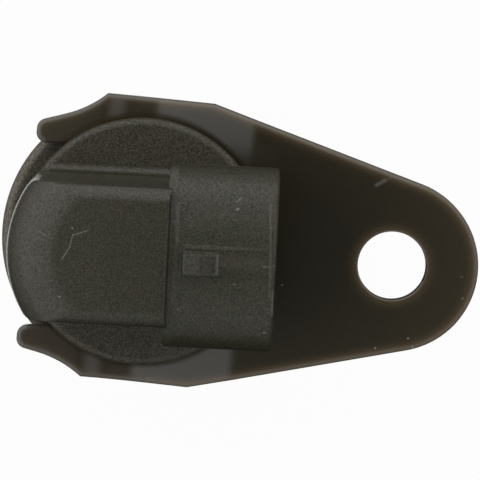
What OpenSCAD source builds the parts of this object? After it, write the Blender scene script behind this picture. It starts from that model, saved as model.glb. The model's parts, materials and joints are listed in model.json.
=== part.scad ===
// Inductive crankshaft position sensor with a side connector and a bowed fork plate.
// Millimetres. The origin is on the barrel's axis at the flange's seat.
// +Z runs up to the connector and +X points along the socket to its mouth.

/* [Barrel] */
// Diameter of the barrel that enters the engine
barrel_d = 18; // [16.5:0.1:22]
// Reach of the barrel below the flange's seat
barrel_len = 30; // [26:0.5:60]
// Wall of the barrel round the coil
barrel_wall = 1.6; // [1.2:0.1:2]
// Chamfer round the nose
nose_chamfer = 1; // [0.4:0.1:1.2]

/* [O-ring] */
// Thickness of the ring's section
ring_section = 2.6; // [1.8:0.1:3]
// How far the ring stands proud of the barrel
ring_proud = 0.5; // [0.3:0.05:0.8]
// Barrel between the flange's seat and the groove
groove_drop = 3; // [1.5:0.1:5]
// Spare length of the groove beside the ring
groove_room = 0.8; // [0.3:0.1:1.5]

/* [Flange and cap] */
// Diameter of the flange
flange_d = 28.2; // [26:0.1:32]
// Thickness of the flange
flange_h = 2.6; // [2:0.1:4]
// Rounding of the flange's top edge
flange_round = 0.8; // [0.3:0.1:1.2]
// Diameter of the neck that the fork grips
neck_d = 18; // [16.5:0.1:19]
// Diameter of the cap disc
cap_d = 24.5; // [23:0.1:27]
// Thickness of the cap disc
cap_h = 2; // [1.5:0.1:3]
// Rounding of the cap's top edge
cap_round = 0.7; // [0.3:0.1:1]

/* [Elbow] */
// Width of the elbow
elbow_w = 13.3; // [12:0.1:15]
// Height of the elbow above the cap
elbow_h = 20.5; // [18:0.5:30]
// Radius of the elbow's closed end, seen from above
elbow_end_r = 11.6; // [10.5:0.1:12.5]
// Distance of that radius's centre behind the axis
elbow_end_back = 0.9; // [0:0.1:1.5]
// Rounding from the elbow's closed end to its top
elbow_end_round = 5; // [2:0.1:6]
// Rounding of the elbow's long top edges
elbow_edge_round = 1.5; // [0.4:0.1:2]
// Rounding of the upright corners beside the closed end
elbow_corner_round = 1.5; // [0.5:0.1:3]
// Reach of the elbow's top past the axis
elbow_reach = 2.85; // [1:0.05:3.5]
// Lean of the elbow's end wall above the shroud
elbow_lean = 15; // [5:1:35]
// Radius of the hollow along the elbow's foot
foot_round = 0.8; // [0.2:0.1:1.5]

/* [Connector shroud] */
// Outer width of the shroud
shroud_w = 17.6; // [16:0.1:20]
// Outer height of the shroud
shroud_h = 9.8; // [9.6:0.1:12]
// Radius of the crowned top and underside of the shroud
shroud_crown_r = 23; // [18:0.5:60]
// Rounding of the shroud's inner end
shroud_back_round = 0.6; // [0.3:0.1:1.5]
// Wall of the shroud
shroud_wall = 1.7; // [1.2:0.1:2.2]
// Distance from the axis to the shroud's mouth
shroud_reach = 13.2; // [12:0.1:18]
// Step from the elbow's top down to the shroud's top
shroud_step = 0.7; // [0.5:0.1:2]
// Lap of the shroud behind the elbow's end wall
shroud_lap = 0.3; // [0.1:0.1:1]

/* [Lock nib] */
// Width of the nib
nib_w = 2.2; // [1.5:0.1:3]
// Sideways shift of the nib from the socket's middle
nib_shift = -0.45; // [-1:0.05:1]
// Height of the nib above the shroud
nib_h = 0.8; // [0.6:0.1:1.5]
// Distance from the axis to the nib's back
nib_back = 4.3; // [3.5:0.1:6]
// Length of the nib's top
nib_top_len = 1.9; // [1:0.1:3]
// Fall of the nib's top towards its back
nib_fall = 0.3; // [0.1:0.1:0.5]
// Length of the slope in front of the top
nib_slope_len = 0.7; // [0.3:0.1:1.5]
// Length of the low step at the nib's front
nib_step_len = 0.9; // [0.4:0.1:1.5]
// Height of the low step
nib_step_h = 0.4; // [0.2:0.1:0.5]
// Width of the guide rail
rail_w = 2.8; // [2:0.1:4]
// Height of the guide rail at the nib
rail_h = 0.2; // [0.1:0.05:0.4]
// Bare shroud between the rail and the mouth
rail_setback = 0.9; // [0.5:0.1:2]

/* [Mounting plate] */
// Thickness of the plate
plate_t = 1.8; // [1.2:0.1:2.2]
// Turn of the plate on the neck, away from the socket's direction
plate_turn = -2.85; // [-15:0.05:15]
// Distance from the barrel's axis to the bolt hole
hole_x = 25; // [23:0.5:40]
// Diameter of the bolt hole
hole_d = 6.8; // [5:0.1:9]
// Radius of the plate's end round the bolt hole
end_r = 8.6; // [7:0.1:10]
// Half the plate's width beside the neck
band_half = 14.2; // [13:0.05:16]
// Front end of the straight sides
band_front = 5.9; // [3:0.1:8]
// Back end of the straight sides, behind the axis
band_back = 4.8; // [3:0.1:6]
// Reach of the fork's tips behind the axis
tip_reach = 11.5; // [9:0.1:13]
// Outer half width of the fork at its tips
tip_half = 11.3; // [10.8:0.1:12.5]
// Slope of the arms' outer edges, in degrees
arm_slope = 15; // [5:0.5:18]
// Sideways lean of both arms, in degrees
arm_lean = 4; // [-5:0.5:5]
// Radius of the hollow curve behind the straight sides
arm_blend_r = 11; // [6:0.5:12]
// Corner radius of the tips
tip_r = 1; // [0.5:0.05:1.1]
// Rise of the bolt pad above the crest
pad_rise = 1.1; // [0.5:0.1:2]
// Rise of the arms above the crest
arm_rise = 0.4; // [0:0.05:0.5]
// Where the bolt pad starts, ahead of the axis
pad_start = 10.1; // [8:0.1:14]
// Front end of the crest, ahead of the axis
crest_front = 0.2; // [-1:0.1:2]
// Back end of the crest, behind the axis
crest_back = 2.7; // [1:0.1:3.5]
// Inside radius of the soft bends
bend_r = 8; // [3:0.5:9]

/* [Coil assembly] */
// Diameter of the pole piece
pole_d = 5; // [3:0.1:6]
// Diameter of the magnet
magnet_d = 6.8; // [5:0.1:7.2]
// Length of the magnet
magnet_len = 5.5; // [3:0.1:7]
// Length of the winding
winding_len = 11; // [8:0.5:11]
// Thickness of the bobbin's flanges
bobbin_flange_t = 1.1; // [0.8:0.1:1.5]
// Wall of the bobbin's core
bobbin_core_wall = 0.8; // [0.5:0.1:1.2]
// Depth of the winding below the bobbin's rim
winding_drop = 0.7; // [0.4:0.05:1]
// Thickness of the tape over the winding
tape_t = 0.25; // [0.1:0.05:0.35]
// Thickness of the disc that closes the nose
nose_cap_t = 1.5; // [1:0.1:2.5]

/* [Terminals] */
// Distance between the two blades
terminal_pitch = 6.4; // [5.9:0.1:7]
// Width of a blade
blade_w = 1.5; // [1.2:0.1:1.6]
// Thickness of a blade
blade_t = 0.8; // [0.6:0.05:0.9]
// Distance from the socket's mouth back to the blades' tips
blade_setback = 2.2; // [1.5:0.1:4]
// Inside radius of the blades' bend
blade_bend_r = 0.6; // [0.3:0.1:1]
// Housing between the magnet's pocket and the blades
leg_wall = 0.5; // [0.4:0.1:1]
// Diameter of the coil's leads
lead_d = 0.4; // [0.2:0.05:0.5]
// Length of the leads above the bobbin
lead_top = 1; // [0.5:0.1:2]

/* [Clearances] */
// Gap between the neck and the fork's slot
slot_gap = 0.15; // [0.05:0.05:0.3]
// Gap between the bowed plate and the cap
grip_gap = 0.1; // [0.05:0.05:0.3]
// Gap between the ring and its groove's floor
ring_gap = 0.05; // [0.02:0.01:0.1]
// Gap round the bobbin, magnet, pole piece and nose cap
stack_gap = 0.08; // [0.03:0.01:0.12]
// Gap round the moulded-in blades
insert_gap = 0.04; // [0.02:0.01:0.1]
// Gap round the leads
lead_gap = 0.1; // [0.05:0.05:0.2]

/* [Hidden] */
$fn = 96;
arc_steps = 8;
bend_steps = 3;
end_steps = 18;
// Overrun of cutting tools past the faces that they open
over = 1;
// Play that keeps a rounding tool off the faces beside its edge
play = 0.02;

barrel_r = barrel_d / 2;
ring_out_r = barrel_r + ring_proud;
groove_r = ring_out_r - ring_section - ring_gap;
groove_w = ring_section + groove_room;
ring_z = -groove_drop - groove_w / 2;

plate_bow = max(pad_rise, arm_rise);
cap_under = flange_h + plate_bow + plate_t + grip_gap;
cap_top = cap_under + cap_h;
elbow_top = cap_top + elbow_h;
shroud_top = elbow_top - shroud_step;
shroud_z = shroud_top - shroud_h / 2;
elbow_front = elbow_reach + shroud_step * tan(elbow_lean);
shroud_root = elbow_front - shroud_lap;
socket_floor = shroud_root + shroud_wall;
slot_half = neck_d / 2 + slot_gap;

pocket_r = barrel_r - barrel_wall;
bobbin_r = pocket_r - stack_gap;
pole_r = pole_d / 2;
core_r = pole_r + stack_gap + bobbin_core_wall;
tape_r = bobbin_r - winding_drop;
coil_r = tape_r - tape_t;
nose_z = -barrel_len;
bobbin_z = nose_z + nose_cap_t;
winding_z = bobbin_z + bobbin_flange_t;
winding_top = winding_z + winding_len;
bobbin_top = winding_top + bobbin_flange_t;
magnet_r = magnet_d / 2;

leg_x = -(magnet_r + stack_gap + leg_wall + blade_t / 2);
foot_z = bobbin_top + lead_top;
blade_tip = shroud_reach - blade_setback;

// Points of an arc round a centre, from one angle through a sweep
function arc(centre, r, start, sweep, n) =
    [for (i = [0 : n]) centre + r * [cos(start + sweep * i / n), sin(start + sweep * i / n)]];

// Points of the arc that rounds corner b between the edges to a and c
function corner_arc(a, b, c, r, n) =
    let (
        u = (a - b) / norm(a - b),
        v = (c - b) / norm(c - b),
        half = acos(u * v) / 2,
        centre = b + (u + v) / norm(u + v) * r / sin(half),
        first = b + u * r / tan(half) - centre,
        last = b + v * r / tan(half) - centre,
        start = atan2(first.y, first.x),
        sweep = (atan2(last.y, last.x) - start + 540) % 360 - 180
    )
    arc(centre, r, start, sweep, n);

// Angle at which the straight edge from p meets the circle of radius r round c
function tangent_angle(p, c, r) =
    let (d = p - c)
    atan2(d.y, d.x) - acos(r / norm(d));

// Points of the hollow curve that leaves the edge through p at the given slope and ends at corner k
function hollow_arc(p, slope, k, r, n) =
    let (
        along = [cos(slope), sin(slope)],
        up = [-sin(slope), cos(slope)],
        rise = (k - p) * up,
        run = (k - p) * along - sqrt(r * r - (rise - r) * (rise - r)),
        centre = p + run * along + r * up,
        start = slope - 90,
        last = k - centre,
        sweep = atan2(last.y, last.x) - start
    )
    arc(centre, r, start, sweep, n);

// Side view of a bent blade from its foot up and along to its end, grown by a gap all round
function blade_outline(foot, end, gap) =
    let (
        back = leg_x - blade_t / 2 - gap,
        front = leg_x + blade_t / 2 + gap,
        low = shroud_z - blade_t / 2 - gap,
        high = shroud_z + blade_t / 2 + gap,
        outer_r = blade_bend_r + blade_t + gap,
        inner_r = blade_bend_r - gap,
        outer = corner_arc([back, foot], [back, high], [end, high], outer_r, arc_steps),
        inner = corner_arc([end, low], [front, low], [front, foot], inner_r, arc_steps)
    )
    concat([[back, foot]], outer, [[end, high], [end, low]], inner, [[front, foot]]);

// Rectangle of the given size round the origin, with round corners
module soft_rect(w, h, r) {
    square([w - 2 * r, h], center = true);
    square([w, h - 2 * r], center = true);
    for (x = [-1, 1], y = [-1, 1])
        translate([x * (w / 2 - r), y * (h / 2 - r)])
            circle(r);
}

// Oval of the given size round the origin: two round ends joined by a flat middle
module oval(w, h) {
    square([w - h, h], center = true);
    for (side = [-1, 1])
        translate([side * (w - h) / 2, 0])
            circle(d = h);
}

// Oval of four tangent arcs round the origin: two round ends and two crowned sides
module crowned_oval(w, h, crown_r) {
    rise = crown_r - h / 2;
    end_r = (crown_r * h - (w * w + h * h) / 4) / (2 * crown_r - w);
    end_x = w / 2 - end_r;
    seam = crown_r * end_x / norm([end_x, rise]);
    intersection() {
        square([2 * seam, 2 * h], center = true);
        translate([0, -rise])
            circle(crown_r);
        translate([0, rise])
            circle(crown_r);
    }
    for (side = [-1, 1])
        translate([side * end_x, 0])
            circle(end_r);
}

// Half section of a disc that stands on the ground, its top edge rounded
module disc_section(r, h, edge) {
    square([r - edge, h]);
    square([r, h - edge]);
    translate([r - edge, h - edge])
        circle(edge);
}

// Disc whose top edge is rounded
module soft_disc(r, h, edge) {
    rotate_extrude()
        intersection() {
            disc_section(r, h, edge);
            square([r, h]);
        }
}

// Extrudes a section drawn across the socket along +X, between two distances from the axis
module along_socket(from, to) {
    translate([from, 0, 0])
        rotate([90, 0, 90])
            linear_extrude(to - from)
                children();
}

// Extrudes an outline drawn in the XZ plane to a width centred on that plane
module across_socket(w) {
    rotate([90, 0, 0])
        linear_extrude(w, center = true)
            children();
}

// Barrel with its ring groove and chamfered nose, still solid
module barrel_solid() {
    groove_top = -groove_drop;
    groove_end = groove_top - groove_w;
    rotate_extrude()
        polygon([
            [0, nose_z],
            [barrel_r - nose_chamfer, nose_z],
            [barrel_r, nose_z + nose_chamfer],
            [barrel_r, groove_end],
            [groove_r, groove_end],
            [groove_r, groove_top],
            [barrel_r, groove_top],
            [barrel_r, flange_h / 2],
            [0, flange_h / 2]
        ]);
}

// Flange, neck and cap that make the groove for the fork
module head_discs() {
    soft_disc(flange_d / 2, flange_h, flange_round);
    cylinder(h = cap_top - cap_round, d = neck_d);
    translate([0, 0, cap_under])
        soft_disc(cap_d / 2, cap_h, cap_round);
}

// Plan that rounds the elbow's upright corners and leaves the rest of its outline free
module corner_plan() {
    inset = elbow_w / 2 - elbow_corner_round;
    run = sqrt(pow(elbow_end_r - elbow_corner_round, 2) - pow(inset, 2));
    centre = [-elbow_end_back - run, inset];
    ray = centre + (elbow_corner_round + over) * [-run, inset] / norm([run, inset]);
    side = elbow_w / 2 + over;
    upper = [[cap_d, side], [centre.x, side], centre, ray, [-cap_d, ray.y]];
    lower = [for (i = [len(upper) - 1 : -1 : 0]) [upper[i].x, -upper[i].y]];
    polygon(concat(upper, lower));
    for (end = [-1, 1])
        translate([centre.x, end * inset])
            circle(elbow_corner_round);
}

// Elbow: round at its closed end, flat at its sides, with an end wall that leans back above the shroud
module elbow_solid() {
    height = elbow_top - cap_under;
    intersection() {
        translate([-elbow_end_back, 0, cap_under])
            soft_disc(elbow_end_r, height, elbow_end_round);
        along_socket(-cap_d, cap_d)
            translate([0, elbow_top - height])
                soft_rect(elbow_w, 2 * height, elbow_edge_round);
        across_socket(cap_d)
            polygon([
                [-cap_d, cap_under],
                [elbow_front, cap_under],
                [elbow_front, shroud_top],
                [elbow_reach, elbow_top],
                [-cap_d, elbow_top]
            ]);
        translate([0, 0, cap_under - over])
            linear_extrude(height + 2 * over)
                corner_plan();
    }
}

// Hollow fillet between the elbow's two sides and the cap
module elbow_foot() {
    hollow = arc([foot_round, foot_round], foot_round, 270, -90, arc_steps);
    section = concat([[-over, -over], [foot_round, -over]], hollow, [[-over, foot_round]]);
    for (side = [0, 1])
        mirror([0, side, 0])
            intersection() {
                along_socket(-cap_d, elbow_front)
                    translate([elbow_w / 2, cap_top])
                        polygon(section);
                cylinder(h = elbow_top, r = cap_d / 2 - cap_round);
            }
}

// Lock nib with a low front step
module lock_nib() {
    top_end = nib_back + nib_top_len;
    slope_end = top_end + nib_slope_len;
    front = slope_end + nib_step_len;
    root = shroud_top - shroud_wall / 2;
    translate([0, nib_shift, 0])
        across_socket(nib_w)
            polygon([
                [nib_back, root],
                [nib_back, shroud_top + nib_h - nib_fall],
                [top_end, shroud_top + nib_h],
                [slope_end, shroud_top + nib_step_h],
                [front, shroud_top + nib_step_h],
                [front, root]
            ]);
}

// Low rail that leads up to the nib and shares one of its sides
module guide_rail() {
    rail_end = shroud_reach - rail_setback;
    root = shroud_top - shroud_wall / 2;
    translate([0, nib_shift + (rail_w - nib_w) / 2, 0])
        across_socket(rail_w)
            polygon([
                [nib_back, root],
                [nib_back, shroud_top + rail_h],
                [rail_end, shroud_top],
                [rail_end, root]
            ]);
}

// Outside of the crowned shroud, from the elbow's end wall to its mouth, its inner end rounded
module shroud_solid() {
    span = 2 * (shroud_reach - shroud_root);
    intersection() {
        along_socket(shroud_root, shroud_reach)
            translate([0, shroud_z])
                crowned_oval(shroud_w, shroud_h, shroud_crown_r);
        translate([shroud_reach, 0, shroud_z])
            across_socket(shroud_w + 2 * over)
                soft_rect(span, shroud_h + 2 * play, shroud_back_round);
        translate([shroud_reach, 0, shroud_z])
            linear_extrude(shroud_h + 2 * over, center = true)
                soft_rect(span, shroud_w + 2 * play, shroud_back_round);
    }
}

// Room inside the shroud for the mating plug
module socket_room() {
    along_socket(socket_floor, shroud_reach + over)
        translate([0, shroud_z])
            oval(shroud_w - 2 * shroud_wall, shroud_h - 2 * shroud_wall);
}

// Stepped bore for the coil and the magnet, open at the nose
module coil_room() {
    translate([0, 0, nose_z - over])
        cylinder(h = bobbin_top - nose_z + over, r = pocket_r);
    translate([0, 0, bobbin_top - over])
        cylinder(h = magnet_len + over, r = magnet_r + stack_gap);
}

// Room round one blade, from the coil's bore up and along to the socket
module blade_room(side) {
    translate([0, side * terminal_pitch / 2, 0])
        across_socket(blade_w + 2 * insert_gap)
            polygon(blade_outline(bobbin_top - over, socket_floor + over, insert_gap));
}

// One moulding: barrel, flange, neck, cap, elbow, shroud, lock nib and rail
module housing() {
    color("#302f2c")
        difference() {
            union() {
                barrel_solid();
                head_discs();
                elbow_solid();
                elbow_foot();
                shroud_solid();
                lock_nib();
                guide_rail();
            }
            socket_room();
            coil_room();
            for (side = [-1, 1])
                blade_room(side);
        }
}

// One half of the fork's outline, from the slot's end round the tip to the bolt end, its arm leaning inwards
function fork_half(lean) =
    let (
        hole = [hole_x, 0],
        shift = (tip_reach - band_back) * tan(lean),
        slot_end = [0, slot_half],
        tip_in = [-tip_reach, slot_half - shift],
        tip_out = [-tip_reach, tip_half - shift],
        shoulder = [-band_back, band_half],
        blend = hollow_arc(tip_out, arm_slope + lean, shoulder, arm_blend_r, arc_steps),
        front = [band_front, band_half],
        taper_end = tangent_angle(front, hole, end_r)
    )
    concat(
        [slot_end],
        corner_arc(slot_end, tip_in, tip_out, tip_r, arc_steps),
        corner_arc(tip_in, tip_out, blend[0], tip_r, arc_steps),
        blend,
        [front],
        arc(hole, end_r, taper_end, -taper_end, end_steps)
    );

// Plan of the fork, with its round end, slot and bolt hole
module fork_plan() {
    upper = fork_half(arm_lean);
    other = fork_half(-arm_lean);
    lower = [for (i = [len(other) - 2 : -1 : 0]) [other[i].x, -other[i].y]];
    difference() {
        polygon(concat(upper, lower));
        circle(slot_half);
        translate([hole_x, 0])
            circle(d = hole_d);
    }
}

// Side view of the bowed sheet: arms, crest, slope and bolt pad, joined by soft bends
module bow_section() {
    path = [
        [-tip_reach - over, arm_rise],
        [-band_back, arm_rise],
        [-crest_back, 0],
        [crest_front, 0],
        [pad_start, pad_rise],
        [hole_x + end_r + over, pad_rise]
    ];
    last = len(path) - 1;
    bends = [
        for (i = [1 : last - 1])
            each corner_arc(path[i - 1], path[i], path[i + 1], bend_r, bend_steps)
    ];
    under = concat([path[0]], bends, [path[last]]);
    upper = [for (i = [len(under) - 1 : -1 : 0]) under[i] + [0, plate_t]];
    polygon(concat(under, upper));
}

// Coated steel fork that holds the sensor down
module mounting_plate() {
    color("#211f1b")
        translate([0, 0, flange_h])
            rotate([0, 0, plate_turn])
                intersection() {
                    across_socket(2 * band_half + 2 * over)
                        bow_section();
                    translate([0, 0, -over])
                        linear_extrude(plate_bow + plate_t + 2 * over)
                            fork_plan();
                }
}

// Rubber ring in the barrel's groove
module o_ring() {
    color("#191918")
        translate([0, 0, ring_z])
            rotate_extrude()
                translate([ring_out_r - ring_section / 2, 0])
                    circle(d = ring_section);
}

// Disc that closes the bore round the pole tip
module nose_cap() {
    color("#2a2926")
        translate([0, 0, nose_z])
            difference() {
                cylinder(h = nose_cap_t, r = pocket_r - stack_gap);
                translate([0, 0, -over])
                    cylinder(h = nose_cap_t + 2 * over, r = pole_r + stack_gap);
            }
}

// Spool with two flanges, and a hole for each lead in the upper one
module bobbin() {
    color("#d9d3c3")
        difference() {
            union() {
                translate([0, 0, bobbin_z])
                    cylinder(h = bobbin_flange_t, r = bobbin_r);
                translate([0, 0, bobbin_z])
                    cylinder(h = bobbin_top - bobbin_z, r = core_r);
                translate([0, 0, winding_top])
                    cylinder(h = bobbin_flange_t, r = bobbin_r);
            }
            translate([0, 0, bobbin_z - over])
                cylinder(h = bobbin_top - bobbin_z + 2 * over, r = pole_r + stack_gap);
            for (side = [-1, 1])
                translate([leg_x, side * terminal_pitch / 2, winding_top - over])
                    cylinder(h = bobbin_flange_t + 2 * over, d = lead_d + 2 * lead_gap);
        }
}

// Tube between two radii on the winding's length
module winding_tube(inner_r, outer_r) {
    translate([0, 0, winding_z])
        difference() {
            cylinder(h = winding_len, r = outer_r);
            translate([0, 0, -over])
                cylinder(h = winding_len + 2 * over, r = inner_r);
        }
}

// Copper winding
module coil() {
    color("#a8602c")
        winding_tube(core_r, coil_r);
}

// Wrap over the winding
module coil_tape() {
    color("#c79a3a")
        winding_tube(coil_r, tape_r);
}

// Soft iron core, flush with the nose
module pole_piece() {
    color("#8b8d8f")
        translate([0, 0, nose_z])
            cylinder(h = bobbin_top - nose_z, r = pole_r);
}

// Bias magnet on top of the core
module magnet() {
    color("#5a5b5e")
        translate([0, 0, bobbin_top])
            cylinder(h = magnet_len, r = magnet_r);
}

// Bent blade: a leg up from the bobbin, then the blade into the socket, its tip thinned to lead in
module terminal(side) {
    half = blade_t / 2;
    color("#c6c1b2")
        translate([0, side * terminal_pitch / 2, 0])
            across_socket(blade_w)
                difference() {
                    polygon(blade_outline(foot_z, blade_tip, 0));
                    for (face = [-1, 1])
                        polygon([
                            [blade_tip - blade_t, shroud_z + face * half],
                            [blade_tip + blade_t, shroud_z],
                            [blade_tip + blade_t, shroud_z + face * blade_t]
                        ]);
                }
}

// Wire from the winding's end up to a blade's foot
module lead(side) {
    color("#b56a31")
        translate([leg_x, side * terminal_pitch / 2, winding_top])
            cylinder(h = foot_z - winding_top, d = lead_d);
}

module terminal_left() terminal(1);
module terminal_right() terminal(-1);
module lead_left() lead(1);
module lead_right() lead(-1);

housing();
mounting_plate();
o_ring();
nose_cap();
bobbin();
coil();
coil_tape();
pole_piece();
magnet();
terminal_left();
terminal_right();
lead_left();
lead_right();
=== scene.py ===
"""Looks of an inductive crankshaft position sensor: finishes, softened edges, studio and camera."""

import json
import logging
import math
from collections.abc import Callable, Iterable
from dataclasses import dataclass, field
from enum import Enum

import bmesh
import bpy
from mathutils import Matrix, Vector


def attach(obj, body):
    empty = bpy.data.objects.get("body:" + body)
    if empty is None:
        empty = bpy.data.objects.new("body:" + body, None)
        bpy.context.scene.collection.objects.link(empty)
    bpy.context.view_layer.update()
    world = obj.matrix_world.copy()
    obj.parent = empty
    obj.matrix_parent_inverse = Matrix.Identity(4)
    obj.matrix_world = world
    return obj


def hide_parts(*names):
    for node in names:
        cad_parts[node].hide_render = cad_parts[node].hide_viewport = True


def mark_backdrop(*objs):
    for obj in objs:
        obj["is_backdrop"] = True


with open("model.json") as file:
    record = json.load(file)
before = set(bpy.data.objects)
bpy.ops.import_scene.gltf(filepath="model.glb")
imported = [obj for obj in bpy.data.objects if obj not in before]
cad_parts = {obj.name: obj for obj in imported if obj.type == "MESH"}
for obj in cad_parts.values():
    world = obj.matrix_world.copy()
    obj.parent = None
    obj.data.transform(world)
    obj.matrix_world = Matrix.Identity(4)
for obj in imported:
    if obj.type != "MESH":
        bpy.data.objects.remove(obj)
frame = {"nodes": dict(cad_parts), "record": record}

log = logging.getLogger("sensor")

Tree = bpy.types.NodeTree
Socket = bpy.types.NodeSocket

MM = 0.001
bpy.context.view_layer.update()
BODY = "root"
WHITE = (1, 1, 1, 1)
# Sockets of a Mix node: colours A and B with their mix, then plain values A and B.
COLOUR_A, COLOUR_B, COLOUR_MIX = 6, 7, 2
VALUE_A, VALUE_B = 2, 3
# Sockets of a Map Range node for vectors: the two ends of its span, then what they become.
SPAN_LOW, SPAN_HIGH, MAPPED_LOW, MAPPED_HIGH = 7, 8, 9, 10
# Spans of noise: all that it mostly takes up, the middle that a colour drifts over, and from dark to light grains.
NOISE_SPAN = (0.3, 0.7)
DRIFT_SPAN = (0.35, 0.65)
SPECKLE_SPAN = (0.38, 0.74)
# Shares of the speckle by which dark grains are darker and light grains are lighter than the colour.
SPECKLE_DARK, SPECKLE_LIGHT = 0.5, 2.0
# Share of coloured swing in the speckle of the moulding; the rest is light and dark.
SPECKLE_HUE = 0.04
# Scale at which one turn of Blender's wave texture, 20 radians per unit, spans one unit.
WAVE_TURN = math.tau / 20
# Strength of reflections where no painted shade turns them down.
PLAIN_SHEEN = 0.5
# Lean of the softened normal from the true one at which the painted edge glow is full, in radians.
FULL_GLOW = math.radians(45)
# Factor that keeps where a point lies across and drops its height.
FLATTEN = (1, 1, 0)
# Distance within which vertices are welded, in metres.
WELD = 1e-6
# Angle up to which faces count as one and angle from which an edge stays sharp, in radians.
SAME_FACE = math.radians(0.3)
SHARP = math.radians(32)
# Smallest angle at which two faces usually count as meeting in an edge, in degrees.
EDGE_ANGLE = 25.0
# How near a point has to lie to a plane to be in it, in millimetres.
TOUCH = 0.01


class Slot(Enum):
    """Material slots of the part's record that dressed copies stand for."""

    NYLON = "moulded_nylon"
    STEEL = "coated_steel"
    TIN = "tinned_brass"


def linear(colour: str) -> tuple[float, float, float, float]:
    """Turns an sRGB hex colour to linear light.

    Args:
        colour: Six hex digits after a hash sign.

    Returns:
        Red, green, blue and an alpha of 1.
    """
    parts = [int(colour[i:i + 2], 16) / 255 for i in (1, 3, 5)]
    light = [c / 12.92 if c <= 0.04045 else ((c + 0.055) / 1.055) ** 2.4 for c in parts]
    return (*light, 1.0)


def per_mm(size: float) -> float:
    """Gives the texture scale at which one feature spans a size in millimetres."""
    return 1 / (size * MM)


def between(span: tuple[float, float], unit: float = 1.0) -> dict[str, float]:
    """Gives the span of a Map Range node as its inputs, turned to metres where it has a unit."""
    return {"From Min": span[0] * unit, "From Max": span[1] * unit}


def add_node(tree: Tree, kind: str, inputs: dict | None = None, **settings) -> bpy.types.Node:
    """Adds one node with its settings and links.

    Args:
        tree: Node tree that gets the node.
        kind: Blender's type name of the node.
        inputs: Values for the node's inputs by name or number; a socket is linked, anything else is set.
        **settings: Attributes of the node.

    Returns:
        The new node.
    """
    node = tree.nodes.new(kind)
    for key, value in settings.items():
        setattr(node, key, value)
    for key, value in (inputs or {}).items():
        if isinstance(value, Socket):
            tree.links.new(value, node.inputs[key])
        else:
            node.inputs[key].default_value = value
    return node


def from_axis(tree: Tree, place: Socket) -> Socket:
    """Draws the distance from the part's upright axis.

    Args:
        tree: Node tree of the material.
        place: Object coordinates.

    Returns:
        The distance's socket, in metres.
    """
    flat = add_node(tree, "ShaderNodeVectorMath", {0: place, 1: FLATTEN}, operation="MULTIPLY").outputs[0]
    return add_node(tree, "ShaderNodeVectorMath", {0: flat}, operation="LENGTH").outputs["Value"]


@dataclass(frozen=True)
class LightStreak:
    """A fine straight line drawn lighter than the surface round it, used both for real scratches and dust and for
    painted highlights.

    Attributes:
        start: One end, in millimetres.
        end: Other end, in millimetres.
        width: Width of the line, in millimetres.
        strength: How much of the light colour it shows, from 0 to 1.
    """

    start: tuple[float, float, float]
    end: tuple[float, float, float]
    width: float
    strength: float

    def mask(self, tree: Tree, place: Socket) -> Socket:
        """Draws the line as a mask.

        Args:
            tree: Node tree of the material.
            place: Object coordinates.

        Returns:
            A value that is the strength on the line and 0 away from it.
        """
        start = Vector(self.start) * MM
        run = Vector(self.end) * MM - start
        away = add_node(tree, "ShaderNodeVectorMath", {0: place, 1: start}, operation="SUBTRACT").outputs[0]
        share = add_node(tree, "ShaderNodeVectorMath", {0: away, 1: run / run.length_squared},
                         operation="DOT_PRODUCT").outputs["Value"]
        share = add_node(tree, "ShaderNodeMath", {0: share, 1: 1.0}, operation="MULTIPLY", use_clamp=True).outputs[0]
        foot = add_node(tree, "ShaderNodeVectorMath", {0: run, "Scale": share}, operation="SCALE").outputs[0]
        gap = add_node(tree, "ShaderNodeVectorMath", {0: away, 1: foot}, operation="DISTANCE").outputs["Value"]
        return add_node(tree, "ShaderNodeMapRange", {
            "Value": gap, "From Min": 0.0, "From Max": self.width * MM, "To Min": self.strength, "To Max": 0.0,
        }, interpolation_type="SMOOTHSTEP").outputs[0]


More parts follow.
